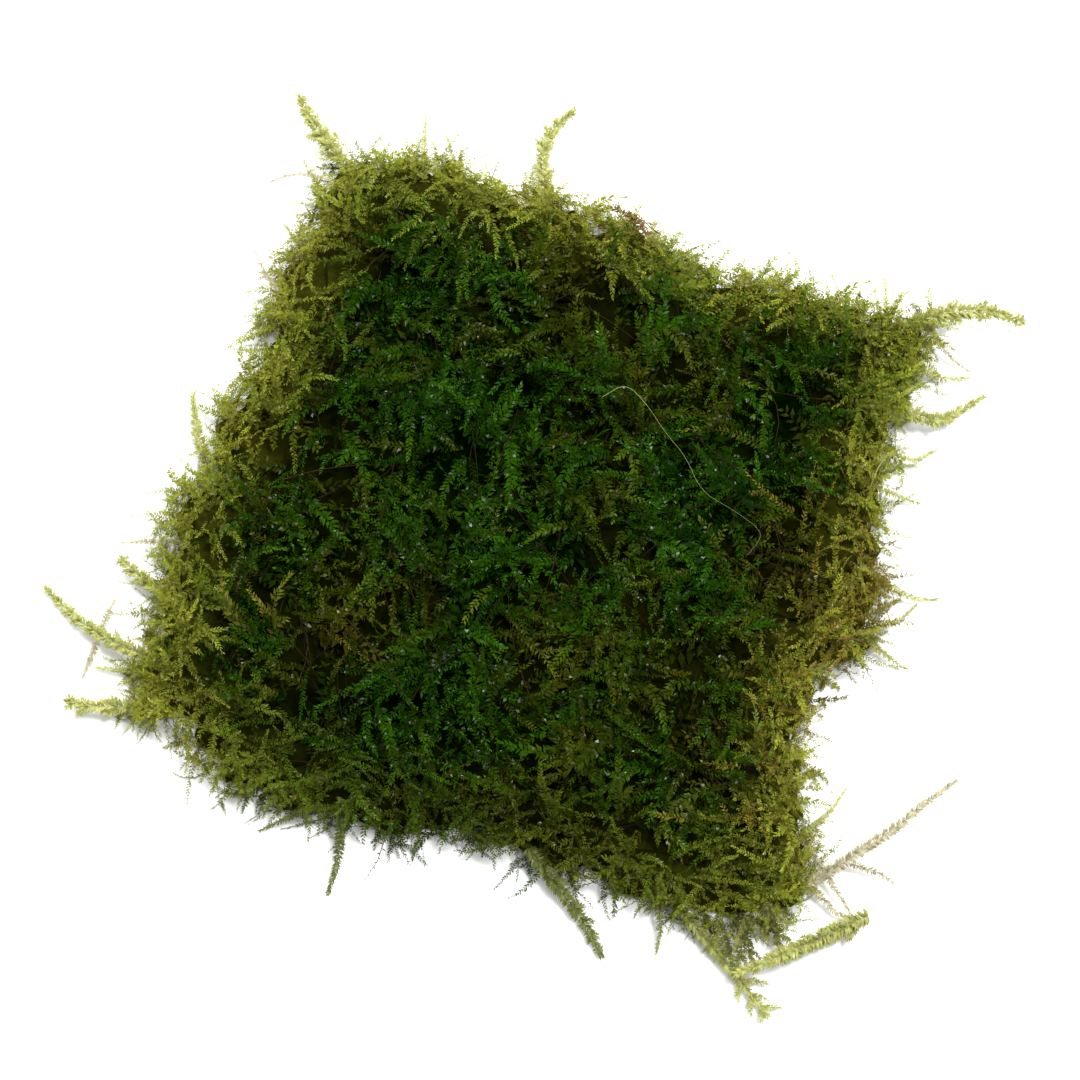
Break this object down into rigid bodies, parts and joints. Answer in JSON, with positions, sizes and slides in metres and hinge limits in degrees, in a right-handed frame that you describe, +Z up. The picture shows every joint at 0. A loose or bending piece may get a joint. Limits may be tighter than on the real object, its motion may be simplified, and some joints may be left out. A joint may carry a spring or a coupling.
{
  "type": "moss clump",
  "caption": "Square felted clump of leafy aquatic moss with a low domed tangled top, a flat underside and loose feathery shoots around its edge.",
  "frame": {"origin": "middle of the underside of the clump's bounding box, on the surface it rests on", "axes": "+Z up out of the mossy top, +X to the clump's right edge, +Y to its back edge, with the sides of the square along X and Y"},
  "size_m": [0.1122, 0.102, 0.0166],
  "materials": {
    "felted_moss": "wet deep green leaf felt with near-black gaps",
    "leafy_shoot": "wet translucent yellow-green leaves",
    "pale_shoot": "thin pale straw-green stems with sparse leaves",
    "dead_shoot": "dead brown stems, matt"
  },
  "bodies": {
    "root": {"moss_mat": "felted_moss", "back_left_horn": "leafy_shoot", "back_left_bristle": "pale_shoot", "left_upper_spur": "leafy_shoot", "left_hair": "pale_shoot", "left_mid_hook": "leafy_shoot", "left_bristle": "pale_shoot", "left_tuft": "leafy_shoot", "long_left_shoot": "leafy_shoot", "long_left_branch_back": "pale_shoot", "long_left_branch_front": "pale_shoot", "left_low_spur": "leafy_shoot", "left_corner_horn": "leafy_shoot", "front_left_spur": "leafy_shoot", "front_left_tail": "leafy_shoot", "front_dead_tip": "dead_shoot", "front_mid_tail": "leafy_shoot", "front_spike": "leafy_shoot", "front_right_tail": "leafy_shoot", "corner_loop_out": "pale_shoot", "corner_loop_low": "pale_shoot", "corner_loop_back": "leafy_shoot", "long_right_shoot": "pale_shoot", "long_right_branch": "pale_shoot", "right_front_spur": "leafy_shoot", "right_point": "leafy_shoot", "right_fork_back": "leafy_shoot", "right_fork_front": "leafy_shoot", "right_thorn": "leafy_shoot", "right_small_hook": "leafy_shoot", "right_hook": "leafy_shoot", "right_tuft": "leafy_shoot", "right_whisker": "pale_shoot", "right_corner_horn": "leafy_shoot", "corner_spike": "leafy_shoot", "back_horn": "leafy_shoot", "back_thin_stem": "dead_shoot", "back_spike": "leafy_shoot", "back_small_spike": "leafy_shoot"}
  },
  "joints": []
}
